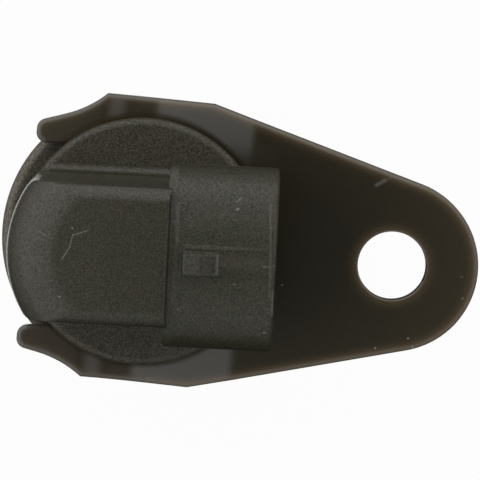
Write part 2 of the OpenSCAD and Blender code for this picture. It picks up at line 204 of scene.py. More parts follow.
@dataclass(frozen=True)
class Finish:
    """What every finish has: a name, a colour, and how its surface scatters light.

    Attributes:
        name: Name of the material.
        colour: Main colour, sRGB hex.
        shade: Second colour that drifts over the surface, sRGB hex.
        roughness: Middle roughness.
        ior: Index of refraction.
        metallic: 1 for bare metal.
        drift: Size of the colour drift, in millimetres.
        grain: Size of the surface grain, in millimetres.
        depth: Height of the grain, in millimetres.
        speckle: How far the colour swings from grain to grain, from 0 to 1.
        glint: How far the sheen swings from grain to grain, from 0 to 1.
        unrest: How far the roughness swings from grain to grain.
        edge: Radius by which the shader softens edges, in millimetres; 0 leaves them.
        edge_glow: Colour of a painted glow along edges, a lighter colour standing in for their highlight, sRGB hex;
            empty where there is none.
        edge_glow_reach: How far the painted glow reaches from an edge, in millimetres.
        streaks: Light lines on the surface: real scratches and dust, and painted highlights.
        streak_colour: Colour of those lines, sRGB hex.
    """

    name: str
    colour: str
    shade: str
    roughness: float
    ior: float = 1.5
    metallic: float = 0.0
    drift: float = 6.0
    grain: float = 0.25
    depth: float = 0.01
    speckle: float = 0.0
    glint: float = 0.0
    unrest: float = 0.05
    edge: float = 0.0
    edge_glow: str = ""
    edge_glow_reach: float = 1.0
    scratches: tuple[LightStreak, ...] = ()
    streak_colour: str = "#8d8b84"

    def height(self, tree: Tree, place: Socket) -> Socket:
        """Draws the surface's fine relief, from 0 to 1."""
        return add_node(tree, "ShaderNodeTexNoise", {
            "Vector": place, "Scale": per_mm(self.grain), "Detail": 2.0, "Roughness": 0.6,
        }).outputs[0]

    def grains(self, tree: Tree, place: Socket) -> bpy.types.Node:
        """Draws the single grains: their lightness, from 0 to 1, and a colour for each."""
        return add_node(tree, "ShaderNodeTexNoise", {
            "Vector": place, "Scale": per_mm(self.grain), "Detail": 1.0, "W": 1.0,
        }, noise_dimensions="4D")

    def glints(self, tree: Tree, place: Socket) -> Socket:
        """Draws the swing of the sheen from grain to grain, round 1."""
        return add_node(tree, "ShaderNodeMapRange", {
            "Value": self.grains(tree, place).outputs[0], **between(NOISE_SPAN),
            "To Min": 1 - self.glint, "To Max": 1 + self.glint,
        }).outputs[0]

    def tint(self, tree: Tree, place: Socket) -> Socket:
        """Draws the colour with its slow drift.

        Args:
            tree: Node tree of the material.
            place: Object coordinates.

        Returns:
            The colour's socket.
        """
        drift = add_node(tree, "ShaderNodeTexNoise", {
            "Vector": place, "Scale": per_mm(self.drift), "Detail": 2.0,
        }).outputs[0]
        share = add_node(tree, "ShaderNodeMapRange", {"Value": drift, **between(DRIFT_SPAN)}).outputs[0]
        return add_node(tree, "ShaderNodeMix", {
            0: share, COLOUR_A: linear(self.colour), COLOUR_B: linear(self.shade),
        }, data_type="RGBA").outputs[COLOUR_MIX]

    def edge_glow_mask(self, tree: Tree, place: Socket) -> Socket:
        """Finds edges for the painted glow, where a softened normal leaves the true one.

        Args:
            tree: Node tree of the material.
            place: Object coordinates; not used here.

        Returns:
            A value that is 1 on a square edge and 0 at the glow's reach from it.
        """
        soft = add_node(tree, "ShaderNodeBevel", {"Radius": self.edge_glow_reach * MM}, samples=8).outputs[0]
        true = add_node(tree, "ShaderNodeNewGeometry").outputs["True Normal"]
        cosine = add_node(tree, "ShaderNodeVectorMath", {0: soft, 1: true}, operation="DOT_PRODUCT").outputs["Value"]
        lean = add_node(tree, "ShaderNodeMath", {0: cosine}, operation="ARCCOSINE").outputs[0]
        return add_node(tree, "ShaderNodeMapRange", {"Value": lean, "From Max": FULL_GLOW}).outputs[0]

    def paint(self, tree: Tree, place: Socket) -> Socket:
        """Draws the colour with its painted edge glow, its speckle and its light lines.

        Args:
            tree: Node tree of the material.
            place: Object coordinates.

        Returns:
            The colour's socket.
        """
        colour = self.tint(tree, place)
        # Painted glow along the edges: a lighter colour standing in for their highlight.
        if self.edge_glow:
            colour = add_node(tree, "ShaderNodeMix", {
                0: self.edge_glow_mask(tree, place), COLOUR_A: colour, COLOUR_B: linear(self.edge_glow),
            }, data_type="RGBA").outputs[COLOUR_MIX]
        if self.speckle:
            light, hue = self.grains(tree, place).outputs[:2]
            dots = add_node(tree, "ShaderNodeMix", {
                0: SPECKLE_HUE, COLOUR_A: light, COLOUR_B: hue,
            }, data_type="RGBA").outputs[COLOUR_MIX]
            swing = add_node(tree, "ShaderNodeMapRange", {
                "Vector": dots, SPAN_LOW: (SPECKLE_SPAN[0],) * 3, SPAN_HIGH: (SPECKLE_SPAN[1],) * 3,
                MAPPED_LOW: (1 - self.speckle * SPECKLE_DARK,) * 3,
                MAPPED_HIGH: (1 + self.speckle * SPECKLE_LIGHT,) * 3,
            }, data_type="FLOAT_VECTOR", clamp=True).outputs[1]
            colour = add_node(tree, "ShaderNodeVectorMath", {0: colour, 1: swing}, operation="MULTIPLY").outputs[0]
        # Light lines: real scratches and dust, and painted highlights along edges.
        for streak in self.scratches:
            colour = add_node(tree, "ShaderNodeMix", {
                0: streak.mask(tree, place), COLOUR_A: colour, COLOUR_B: linear(self.streak_colour),
            }, data_type="RGBA").outputs[COLOUR_MIX]
        return colour

    def sheen(self, tree: Tree, place: Socket) -> Socket | None:
        """Draws the strength of reflections where it varies; None where it is even."""
        return None

    def softness(self, tree: Tree, place: Socket) -> Socket | float:
        """Gives the radius by which the shader softens edges, in metres."""
        return self.edge * MM

    def gloss(self, tree: Tree, relief: Socket) -> Socket:
        """Draws the roughness, which swings with the relief."""
        return add_node(tree, "ShaderNodeMapRange", {
            "Value": relief, **between(NOISE_SPAN),
            "To Min": self.roughness - self.unrest, "To Max": self.roughness + self.unrest,
        }).outputs[0]

    def material(self) -> bpy.types.Material:
        """Makes the material.

        Returns:
            The finished material.
        """
        mat = bpy.data.materials.new(self.name)
        mat.use_nodes = True
        tree = mat.node_tree
        shader = tree.nodes["Principled BSDF"]
        place = add_node(tree, "ShaderNodeTexCoord").outputs["Object"]
        shader.inputs["Metallic"].default_value = self.metallic
        shader.inputs["IOR"].default_value = self.ior
        tree.links.new(self.paint(tree, place), shader.inputs["Base Color"])
        sheen = self.sheen(tree, place)
        if self.glint:
            sheen = add_node(tree, "ShaderNodeMath", {0: self.glints(tree, place), 1: sheen or PLAIN_SHEEN},
                             operation="MULTIPLY").outputs[0]
        if sheen:
            tree.links.new(sheen, shader.inputs["Specular IOR Level"])
        relief = self.height(tree, place)
        tree.links.new(self.gloss(tree, relief), shader.inputs["Roughness"])
        bump = {"Height": relief, "Strength": 1.0, "Distance": self.depth * MM}
        if self.edge:
            radius = self.softness(tree, place)
            bump["Normal"] = add_node(tree, "ShaderNodeBevel", {"Radius": radius}, samples=6).outputs[0]
        normal = add_node(tree, "ShaderNodeBump", bump).outputs[0]
        tree.links.new(normal, shader.inputs["Normal"])
        return mat


@dataclass(frozen=True)
class SpotGradedFinish(Finish):
    """A colour that mixes towards a second tone with distance from one spot.

    Attributes:
        far_tone: Tone that the colour reaches far from the spot, sRGB hex.
        tone_spot: Spot where the colour is plain, in millimetres.
        tone_reach: Distances from that spot where the far tone starts and where it is full, in millimetres.
    """

    far_tone: str = "#383122"
    tone_spot: tuple[float, float, float] = (14.0, 0.0, 5.0)
    tone_reach: tuple[float, float] = (6.0, 24.0)

    def tint(self, tree: Tree, place: Socket) -> Socket:
        """Draws the colour, mixed towards the far tone with distance from the spot.

        Args:
            tree: Node tree of the material.
            place: Object coordinates.

        Returns:
            The colour's socket.
        """
        coat = super().tint(tree, place)
        spot = Vector(self.tone_spot) * MM
        away = add_node(tree, "ShaderNodeVectorMath", {0: place, 1: spot}, operation="DISTANCE").outputs["Value"]
        share = add_node(tree, "ShaderNodeMapRange", {"Value": away, **between(self.tone_reach, MM)}).outputs[0]
        return add_node(tree, "ShaderNodeMix", {
            0: share, COLOUR_A: coat, COLOUR_B: linear(self.far_tone),
        }, data_type="RGBA").outputs[COLOUR_MIX]


@dataclass(frozen=True)
class CoatedFinish(SpotGradedFinish):
    """A coat on a fork, graded in tone from a spot, with painted shade in a ring round the part's axis and a painted
    edge glow that is less under the bolt's head and along the arms.

    Attributes:
        shade_ring_reach: Distances from the axis where painted shade round the cap turns reflections down fully and
            where it ends, in millimetres.
        shade_ring_sheen: Share of the sheen that is left under that painted shade.
        kept_spot: Middle of the bolt's head, in millimetres.
        kept_reach: Distances from that middle where the painted edge glow starts to rise and where it is full, in
            millimetres.
        kept_glow: Share of the painted edge glow that there is under the bolt's head.
        kept_edge: Radius by which the shader softens edges under the bolt's head, in millimetres.
        slot_reach: Distances from the middle line where the painted glow on the arms starts and is full, in
            millimetres.
        slot_end: Place along X up to which the arms count, in millimetres.
        arm_glow: Share of the painted edge glow that there is on the arms' outer edges.
    """

    shade_ring_reach: tuple[float, float] = (12.4, 13.0)
    shade_ring_sheen: float = 0.3
    kept_spot: tuple[float, float, float] = (25.0, -1.2, 5.5)
    kept_reach: tuple[float, float] = (4.0, 7.0)
    kept_glow: float = 0.6
    kept_edge: float = 0.2
    slot_reach: tuple[float, float] = (10.0, 11.0)
    slot_end: float = 1.0
    arm_glow: float = 0.5

    def past_slot(self, tree: Tree, place: Socket) -> Socket:
        """Draws the share of the painted edge glow that the fork's arms leave.

        Args:
            tree: Node tree of the material.
            place: Object coordinates.

        Returns:
            A value that is 0 along the slot, rises on the arms and is 1 past them.
        """
        axes = add_node(tree, "ShaderNodeSeparateXYZ", {0: place}).outputs
        aside = add_node(tree, "ShaderNodeMath", {0: axes["Y"]}, operation="ABSOLUTE").outputs[0]
        outer = add_node(tree, "ShaderNodeMapRange", {
            "Value": aside, **between(self.slot_reach, MM), "To Max": self.arm_glow,
        }).outputs[0]
        ahead = add_node(tree, "ShaderNodeMath", {0: axes["X"], 1: self.slot_end * MM},
                         operation="GREATER_THAN").outputs[0]
        return add_node(tree, "ShaderNodeMath", {0: outer, 1: ahead}, operation="MAXIMUM").outputs[0]

    def past_bolt(self, tree: Tree, place: Socket, near: float, far: float) -> Socket:
        """Draws a value that changes from under the bolt's head to away from it.

        Args:
            tree: Node tree of the material.
            place: Object coordinates.
            near: Value under the bolt's head.
            far: Value away from it.

        Returns:
            The value's socket.
        """
        away = add_node(tree, "ShaderNodeVectorMath", {0: place, 1: Vector(self.kept_spot) * MM},
                        operation="DISTANCE").outputs["Value"]
        return add_node(tree, "ShaderNodeMapRange", {
            "Value": away, **between(self.kept_reach, MM), "To Min": near, "To Max": far,
        }).outputs[0]

    def softness(self, tree: Tree, place: Socket) -> Socket | float:
        """Draws the radius by which the shader softens edges, less under the bolt's head."""
        return self.past_bolt(tree, place, self.kept_edge * MM, self.edge * MM)

    def edge_glow_mask(self, tree: Tree, place: Socket) -> Socket:
        """Finds edges for the painted glow, less under the bolt's head and on the arms.

        Args:
            tree: Node tree of the material.
            place: Object coordinates.

        Returns:
            A value that is up to 1 on a square edge and 0 at the glow's reach from it.
        """
        edge_glow_mask = super().edge_glow_mask(tree, place)
        for share in (self.past_slot(tree, place), self.past_bolt(tree, place, self.kept_glow, 1.0)):
            edge_glow_mask = add_node(tree, "ShaderNodeMath", {0: edge_glow_mask, 1: share}, operation="MULTIPLY").outputs[0]
        return edge_glow_mask

    def sheen(self, tree: Tree, place: Socket) -> Socket | None:
        """Draws the strength of reflections, turned down in a ring round the axis as painted shade of the cap.

        Args:
            tree: Node tree of the material.
            place: Object coordinates.

        Returns:
            The strength's socket.
        """
        # Painted shade round the cap: reflections are weaker near the axis.
        return add_node(tree, "ShaderNodeMapRange", {
            "Value": from_axis(tree, place), **between(self.shade_ring_reach, MM),
            "To Min": self.shade_ring_sheen * PLAIN_SHEEN, "To Max": PLAIN_SHEEN,
        }, interpolation_type="SMOOTHSTEP").outputs[0]


@dataclass(frozen=True)
class MouldedFinish(SpotGradedFinish):
    """A moulding graded in tone from a spot, whose walls the mould drew smooth, with painted shade on its flanks, at
    its foot and round its socket.

    Attributes:
        shaded_from: Place along X past which steep walls get painted shade, in millimetres.
        shaded_rise: Upright shares of the normal at which painted shade on a wall is full and at which there is none.
        shaded_sheen: Share of the sheen that is left where painted shade is full.
        shaded_foot_top: Height up to which the foot gets painted shade too, in millimetres.
        shaded_flank_share: Sideways shares of the normal at which painted shade on a flank starts and is full.
        drawn_rise: Upright shares of the normal at which a wall is drawn fully smooth and at which it isn't.
        drawn_rough: Share of the roughness that is left on a smooth wall.
    """

    shaded_from: float = 3.6
    shaded_rise: tuple[float, float] = (0.5, 0.9)
    shaded_sheen: float = 0.35
    shaded_foot_top: float = 8.7
    shaded_flank_share: tuple[float, float] = (0.9, 0.99)
    drawn_rise: tuple[float, float] = (0.1, 0.4)
    drawn_rough: float = 0.4

    def gloss(self, tree: Tree, relief: Socket) -> Socket:
        """Draws the roughness, less on the walls.

        Args:
            tree: Node tree of the material.
            relief: Height of the surface's grain.

        Returns:
            The roughness's socket.
        """
        normal = add_node(tree, "ShaderNodeNewGeometry").outputs["Normal"]
        rise = add_node(tree, "ShaderNodeSeparateXYZ", {0: normal}).outputs["Z"]
        share = add_node(tree, "ShaderNodeMapRange", {
            "Value": rise, **between(self.drawn_rise), "To Min": self.drawn_rough, "To Max": 1.0,
        }, interpolation_type="SMOOTHSTEP").outputs[0]
        rough = super().gloss(tree, relief)
        return add_node(tree, "ShaderNodeMath", {0: rough, 1: share}, operation="MULTIPLY").outputs[0]

    def sheen(self, tree: Tree, place: Socket) -> Socket | None:
        """Draws the strength of reflections, turned down on the walls as painted shade.

        Args:
            tree: Node tree of the material.
            place: Object coordinates.

        Returns:
            The strength's socket.
        """
        normal = add_node(tree, "ShaderNodeNewGeometry").outputs["Normal"]
        lean = add_node(tree, "ShaderNodeSeparateXYZ", {0: normal}).outputs
        # Painted shade: reflections are turned down on steep faces past the shroud's back, at the foot and on the
        # flanks.
        wall = add_node(tree, "ShaderNodeMapRange", {
            "Value": lean["Z"], **between(self.shaded_rise),
            "To Min": self.shaded_sheen * PLAIN_SHEEN, "To Max": PLAIN_SHEEN,
        }, interpolation_type="SMOOTHSTEP").outputs[0]
        axes = add_node(tree, "ShaderNodeSeparateXYZ", {0: place}).outputs
        ahead = add_node(tree, "ShaderNodeMath", {0: axes["X"], 1: self.shaded_from * MM},
                         operation="GREATER_THAN").outputs[0]
        foot = add_node(tree, "ShaderNodeMath", {0: axes["Z"], 1: self.shaded_foot_top * MM}, operation="LESS_THAN").outputs[0]
        across = add_node(tree, "ShaderNodeMath", {0: lean["Y"]}, operation="ABSOLUTE").outputs[0]
        flank = add_node(tree, "ShaderNodeMapRange", {"Value": across, **between(self.shaded_flank_share)}).outputs[0]
        dull = ahead
        for other in (foot, flank):
            dull = add_node(tree, "ShaderNodeMath", {0: dull, 1: other}, operation="MAXIMUM").outputs[0]
        return add_node(tree, "ShaderNodeMix", {0: dull, VALUE_A: PLAIN_SHEEN, VALUE_B: wall},
                        data_type="FLOAT").outputs[0]


@dataclass(frozen=True)
class LitRimFinish(Finish):
    """A moulding drawn lighter past a distance from the part's axis: a painted highlight on the rim.

    Attributes:
        rim_highlight: Colour of the painted highlight on the rim, sRGB hex.
        rim_highlight_reach: Distances from the axis where the painted highlight starts and where it is full, in
            millimetres.
    """

    rim_highlight: str = "#544f44"
    rim_highlight_reach: tuple[float, float] = (13.0, 13.5)

    def tint(self, tree: Tree, place: Socket) -> Socket:
        """Draws the colour with its painted rim highlight.

        Args:
            tree: Node tree of the material.
            place: Object coordinates.

        Returns:
            The colour's socket.
        """
        # Painted highlight: the rim is drawn lighter.
        share = add_node(tree, "ShaderNodeMapRange", {
            "Value": from_axis(tree, place), **between(self.rim_highlight_reach, MM),
        }, interpolation_type="SMOOTHSTEP").outputs[0]
        return add_node(tree, "ShaderNodeMix", {
            0: share, COLOUR_A: super().tint(tree, place), COLOUR_B: linear(self.rim_highlight),
        }, data_type="RGBA").outputs[COLOUR_MIX]


@dataclass(frozen=True)
class TurnedFinish(Finish):
    """A lathe-turned face: fine rings round the part's axis."""

    def height(self, tree: Tree, place: Socket) -> Socket:
        """Draws rings round the axis, one grain apart."""
        return add_node(tree, "ShaderNodeTexWave", {
            "Vector": place, "Scale": per_mm(self.grain) * WAVE_TURN, "Distortion": 0.4, "Detail": 2.0,
        }, wave_type="RINGS", rings_direction="Z").outputs["Fac"]


@dataclass(frozen=True)
class WoundFinish(Finish):
    """Wire wound in close turns: one band for each turn up the axis."""

    def height(self, tree: Tree, place: Socket) -> Socket:
        """Draws the turns, one grain apart."""
        return add_node(tree, "ShaderNodeTexWave", {
            "Vector": place, "Scale": per_mm(self.grain) * WAVE_TURN, "Distortion": 0.2,
        }, wave_type="BANDS", bands_direction="Z").outputs["Fac"]


# Marks and painted highlight lines on the head: start, end and width in millimetres, and strength.
HEAD_MARKS_AND_HIGHLIGHTS = tuple(LightStreak(*row) for row in (
    # A fibre that lies on the elbow.
    ((-4.7, 2.3, 28.1), (-6.1, 1.8, 28.1), 0.09, 0.4),
    ((-6.1, 1.8, 28.1), (-6.3, 0.7, 28.1), 0.09, 0.4),
    ((-6.3, 0.7, 28.1), (-7.0, -0.5, 28.1), 0.1, 0.45),
    # Nicks and dots of dust on the elbow.
    ((-9.3, 2.0, 27.65), (-8.6, 1.6, 27.9), 0.09, 0.4),
    ((-9.2, 1.35, 27.7), (-9.15, 1.3, 27.7), 0.12, 0.45),
    ((-7.1, -4.1, 28.05), (-7.05, -4.1, 28.05), 0.13, 0.9),
    ((-6.2, 2.5, 28.1), (-6.1, 2.4, 28.1), 0.12, 0.5),
    # Scuffs on the shroud and near its lip.
    ((9.6, 6.0, 26.55), (9.2, 5.6, 26.7), 0.12, 0.4),
    ((9.4, 5.0, 26.85), (9.2, 4.9, 26.9), 0.13, 0.7),
    ((12.0, -0.35, 27.4), (13.1, -0.25, 27.3), 0.09, 0.45),
    ((12.3, -6.7, 26.25), (12.5, -6.7, 26.25), 0.12, 0.6),
    # Painted highlight lines along the lip, which follow its crown.
    ((12.39, 5.5, 26.73), (12.49, 3.3, 27.16), 0.18, 0.16),
    ((12.49, 3.3, 27.16), (12.62, 0.8, 27.38), 0.18, 0.16),
    ((12.62, 0.8, 27.38), (12.7, -1.2, 27.36), 0.18, 0.16),
    ((12.7, -1.2, 27.36), (12.75, -3.4, 27.15), 0.18, 0.1),
    ((12.84, 5.5, 26.7), (12.94, 3.3, 27.12), 0.12, 0.08),
    ((12.94, 3.3, 27.12), (13.06, 0.8, 27.3), 0.12, 0.08),
    ((12.95, -2.6, 27.15), (13.05, -4.9, 26.8), 0.16, 0.36),
    # A painted highlight on the nib's front, and the strip before it painted lighter.
    ((7.7, 0.8, 27.9), (7.7, -1.2, 27.9), 0.35, 0.25),
    ((8.2, -0.1, 27.5), (12.0, -0.1, 27.5), 1.3, 0.055),
    # A painted highlight along the shroud's back edge, and dots of dust.
    ((3.65, 5.3, 26.8), (3.75, 1.7, 27.35), 0.34, 0.12),
    ((3.75, 1.7, 27.35), (3.65, -4.0, 27.1), 0.34, 0.06),
    ((4.1, -4.8, 26.9), (4.2, -4.8, 26.9), 0.12, 0.5),
    ((9.3, -2.15, 27.3), (9.45, -2.15, 27.3), 0.12, 0.3),
))
# Marks on the plate, likewise.
PLATE_MARKS = tuple(LightStreak(*row) for row in (
    # A scrape that thins out.
    ((23.0, 6.7, 5.5), (23.8, 7.2, 5.5), 0.32, 0.3),
    ((23.8, 7.2, 5.5), (24.5, 7.6, 5.5), 0.15, 0.15),
    # Chips and dots of dust.
    ((26.9, -8.4, 5.5), (27.0, -8.4, 5.5), 0.11, 1.0),
    ((27.4, -9.2, 5.5), (27.5, -9.3, 5.5), 0.11, 1.0),
    ((23.7, -9.5, 5.5), (23.8, -9.6, 5.5), 0.11, 1.0),
    ((32.1, -4.2, 5.5), (32.2, -4.1, 5.5), 0.14, 0.5),
    ((31.9, -2.0, 5.5), (32.0, -2.0, 5.5), 0.14, 0.3),
    ((14.1, -3.7, 5.5), (14.2, -3.7, 5.5), 0.12, 0.4),
))
# Black glass-filled nylon from a spark-eroded mould: dull, with a fine even speckle, marked here and there by handling,
# with painted highlight lines, painted shade on its walls and a tone graded from a spot.
HEAD_NYLON = MouldedFinish(
    "moulded_nylon_fine", "#2b271a", "#25281a", roughness=0.3, drift=0.9, grain=0.13, depth=0.015,
    speckle=0.4, glint=0.35, edge=0.35, scratches=HEAD_MARKS_AND_HIGHLIGHTS,
    far_tone="#323025", tone_spot=(7.0, -2.0, 27.0), tone_reach=(2.0, 17.0),
)
# The same moulding where the tool was left rougher, on the discs: coarser speckle, less shine, and a painted highlight
# on the flange's rim.
DISC_NYLON = LitRimFinish(
    "moulded_nylon_coarse", "#332e20", "#302e21", roughness=0.36, drift=1.0, grain=0.14, depth=0.03,
    speckle=0.5, glint=0.6, edge=0.25,
)
# Steel sheet under black e-coat: thin and smooth, with soft reflections, and a painted brown glow along its edges that
# stands in for their highlight.
COATED_STEEL = CoatedFinish(
    "black_e_coat", "#1f1a09", "#1e1a0a", roughness=0.19, ior=1.9, drift=9.0, grain=0.4, depth=0.0, unrest=0.01,
    edge_glow="#66553b", edge_glow_reach=1.8, edge=0.7, scratches=PLATE_MARKS,
)
# Black nitrile: even, soft sheen.
SEAL_RUBBER = Finish("nitrile_rubber", "#1a1a19", "#171716", roughness=0.42, ior=1.52, grain=0.5, depth=0.004)
# Black nylon disc, flatter than the moulding round it.
NOSE_NYLON = Finish("nose_nylon", "#272623", "#22211f", roughness=0.5, ior=1.53, grain=0.3, depth=0.01)
# Unfilled natural nylon: milky.
NATURAL_NYLON = Finish("natural_nylon", "#d9d3c3", "#cdc6b3", roughness=0.4, ior=1.53, grain=0.6, depth=0.003)
# Enamelled copper wire: bright metal under clear varnish.
COPPER_WIRE = WoundFinish("enamelled_copper", "#b4622c", "#9c5022", roughness=0.3, metallic=1.0, grain=0.2, depth=0.04)
# Polyimide tape: glossy amber film.
FILM_TAPE = Finish("amber_film", "#c79a3a", "#b98a2c", roughness=0.22, ior=1.6, grain=2.0, depth=0.01)
# Turned soft iron, flush with the nose: fine rings from the tool.
TURNED_IRON = TurnedFinish("turned_iron", "#8b8d8f", "#7c7e80", roughness=0.36, metallic=1.0, grain=0.25, depth=0.004)
# Ground alnico: grey metal, finely matt.
MAGNET_ALLOY = Finish("ground_alnico", "#6a6b6e", "#5c5d60", roughness=0.45, metallic=1.0, grain=0.15, depth=0.004)
# Tin plate on brass: pale, soft metal.
TIN_PLATE = Finish("tin_plate", "#c9c5b8", "#bdb9ab", roughness=0.32, metallic=1.0, grain=0.2, depth=0.003)


def mount(name: str) -> Vector:
    """Gives the place of one of the record's mounts, in millimetres."""
    return next(Vector(m["pos_m"]) / MM for m in frame["record"]["mounts"] if m["name"] == name)


class Workpiece:
    """A welded copy of one CAD node whose edges can be softened before it is dressed."""

    def __init__(self, node: str) -> None:
        """Copies and welds the node's mesh.

        Args:
            node: Name of the CAD node.
        """
        self.node = node
        self.mesh = bmesh.new()
        self.mesh.from_mesh(frame["nodes"][node].data)
        bmesh.ops.remove_doubles(self.mesh, verts=self.mesh.verts, dist=WELD)
        bmesh.ops.dissolve_limit(self.mesh, angle_limit=SAME_FACE, verts=self.mesh.verts, edges=self.mesh.edges)

    def edges(self, where: Callable[[Vector], bool], least: float) -> list[bmesh.types.BMEdge]:
        """Finds outward edges whose two ends are both in a place.

        Args:
            where: Test of a point, in millimetres.
            least: Smallest angle between the edge's faces, in degrees.

        Returns:
            The edges.
        """
        found = []
        for edge in self.mesh.edges:
            if len(edge.link_faces) == 2 and edge.calc_face_angle_signed(0.0) > math.radians(least):
                if all(where(v.co / MM) for v in edge.verts):
                    found.append(edge)
        return found

    def soften(self, where: Callable[[Vector], bool], width: float, segments: int = 3,
               least: float = EDGE_ANGLE) -> None:
        """Rounds the outward edges in a place.

        Args:
            where: Test of a point, in millimetres.
            width: Width of the rounding, in millimetres.
            segments: Strips across the rounding.
            least: Smallest angle between an edge's faces, in degrees.
        """
        edges = self.edges(where, least)
        bmesh.ops.bevel(self.mesh, geom=edges, offset=width * MM, offset_type="OFFSET", segments=segments,
                        profile=0.5, affect="EDGES", clamp_overlap=True, loop_slide=True, material=-1)
        log.info("%s: %d edges softened by %.2f mm", self.node, len(edges), width)

    def place(self, name: str, slot: Slot, finishes: Iterable[Finish]) -> bpy.types.Object:
        """Turns the copy into the piece that stands for its node.

        Args:
            name: Name of the piece.
            slot: Slot of the record that the piece would take its finish from; not used.
            finishes: Finishes, in the order of the faces' material numbers.

        Returns:
            The piece.
        """
        data = bpy.data.meshes.new(name)
        self.mesh.to_mesh(data)
        self.mesh.free()
        normals = data.attributes.get("custom_normal")
        if normals:
            data.attributes.remove(normals)
        data.shade_smooth()
        data.set_sharp_from_angle(angle=SHARP)
        for finish in finishes:
            data.materials.append(finish.material())
        piece = bpy.data.objects.new(name, data)
        bpy.context.scene.collection.objects.link(piece)
        piece.modifiers.new("even_normals", "WEIGHTED_NORMAL").keep_sharp = True
        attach(piece, BODY)
        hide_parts(self.node)
        log.info("%s: %d faces", name, len(data.polygons))
        return piece


@dataclass
class Housing:
    """The one-piece moulding: barrel, flange, neck, cap, elbow, shroud and lock nib. Sizes in millimetres.

    Attributes:
        mouth: Place of the socket's mouth along X.
        shroud_mid: Height of the shroud's middle.
        core_half: Half the length of the shroud's core line, which runs along Y.
        lip_split: Distance from the core line between the lip's inner and outer edges.
        lip_out: Rounding of the lip's outer edge.
        lip_strips: Strips across that rounding.
        lip_in: Rounding of the lip's inner edge.
        elbow_top: Height of the elbow's top.
        end_wall: Place of the elbow's end wall along X.
        wall_edge: Rounding of that wall's upper edge.
        nib_foot: Height above which only the nib has edges.
        nib_span: Places along X between which the nib lies.
        nib_edge: Rounding of the nib's edges.
        nib_angle: Smallest angle of the nib's edges, in degrees.
        disc_top: Height up to which the coarse finish goes.
        barrel_span: Heights between which the flange's and barrel's lower edges are rounded.
        barrel_edge: Rounding of those edges.
        barrel_angle: Smallest angle of those edges, in degrees.
    """

    mouth: float = mount("socket").x
    shroud_mid: float = mount("socket").z
    core_half: float = 3.9
    lip_split: float = 4.0
    lip_out: float = 0.4
    lip_strips: int = 5
    lip_in: float = 0.3
    elbow_top: float = 28.1
    end_wall: float = 2.85
    wall_edge: float = 0.25
    nib_foot: float = 27.45
    nib_span: tuple[float, float] = (4.2, 12.5)
    nib_edge: float = 0.2
    nib_angle: float = 20.0
    disc_top: float = 7.65
    barrel_span: tuple[float, float] = (-29.9, 0.01)
    barrel_edge: float = 0.2
    barrel_angle: float = 40.0

    def from_core(self, point: Vector) -> float:
        """Gives the distance of a point from the shroud's inner core line."""
        return math.hypot(max(abs(point.y) - self.core_half, 0.0), point.z - self.shroud_mid)

    def at_lip(self, point: Vector, outer: bool) -> bool:
        """Tells whether a point lies on the lip's outer or inner edge."""
        return abs(point.x - self.mouth) < TOUCH and (self.from_core(point) > self.lip_split) == outer

    def at_wall(self, point: Vector) -> bool:
        """Tells whether a point lies on the upper edge of the elbow's end wall."""
        return abs(point.z - self.elbow_top) < TOUCH and abs(point.x - self.end_wall) < TOUCH

    def at_nib(self, point: Vector) -> bool:
        """Tells whether a point lies on the nib."""
        return point.z > self.nib_foot and self.nib_span[0] < point.x < self.nib_span[1]

    def at_barrel(self, point: Vector) -> bool:
        """Tells whether a point lies on the flange's underside or on the barrel above its nose."""
        return self.barrel_span[0] < point.z < self.barrel_span[1]

    def build(self) -> bpy.types.Object:
        """Softens the moulding's edges and dresses it.

        Returns:
            The housing's piece.
        """
        work = Workpiece("housing")
        work.soften(lambda p: self.at_lip(p, outer=True), self.lip_out, self.lip_strips)
        work.soften(lambda p: self.at_lip(p, outer=False), self.lip_in)
        work.soften(self.at_wall, self.wall_edge)
        work.soften(self.at_nib, self.nib_edge, least=self.nib_angle)
        work.soften(self.at_barrel, self.barrel_edge, least=self.barrel_angle)
        for face in work.mesh.faces:
            face.material_index = 1 if face.calc_center_median().z / MM < self.disc_top else 0
        return work.place("moulded_housing", Slot.NYLON, (HEAD_NYLON, DISC_NYLON))


@dataclass
class ForkPlate:
    """The bowed steel fork that bolts the sensor down. Sizes in millimetres.

    Attributes:
        edge: Rounding of the outline's edges.
        hole_r: Distance from the bolt hole's axis within which an edge is the hole's.
        hole_edge: Rounding of the hole's edges.
        sheared: Smallest angle of a sheared edge, in degrees.
    """

    edge: float = 0.22
    hole_r: float = 3.6
    hole_edge: float = 0.15
    sheared: float = 55.0

    def at_hole(self, point: Vector) -> bool:
        """Tells whether a point lies on the bolt hole's edge."""
        return (point - mount("bolt_hole")).to_2d().length < self.hole_r

    def build(self) -> bpy.types.Object:
        """Rolls the sheared edges over and coats the plate.

        Returns:
            The plate's piece.
        """
        work = Workpiece("mounting_plate")
        work.soften(lambda p: not self.at_hole(p), self.edge, least=self.sheared)
        work.soften(self.at_hole, self.hole_edge, least=self.sheared)
        return work.place("fork_plate", Slot.STEEL, (COATED_STEEL,))


@dataclass
class Contacts:
    """The two bent blades in the socket. Sizes in millimetres.

    Attributes:
        edge: Rounding of the blades' edges.
        strips: Strips across the rounding.
        stamped: Smallest angle of a stamped edge, in degrees.
        nodes: CAD nodes of the blades.
    """

    edge: float = 0.08
    strips: int = 2
    stamped: float = 30.0
    nodes: tuple[str, str] = ("terminal_left", "terminal_right")

    def build(self) -> list[bpy.types.Object]:
        """Rounds the blades' edges and tins them.

        Returns:
            The blades' pieces.
        """
        pieces = []
        for node in self.nodes:
            work = Workpiece(node)
            work.soften(lambda p: True, self.edge, self.strips, self.stamped)
            pieces.append(work.place("blade_" + node.split("_")[1], Slot.TIN, (TIN_PLATE,)))
        return pieces


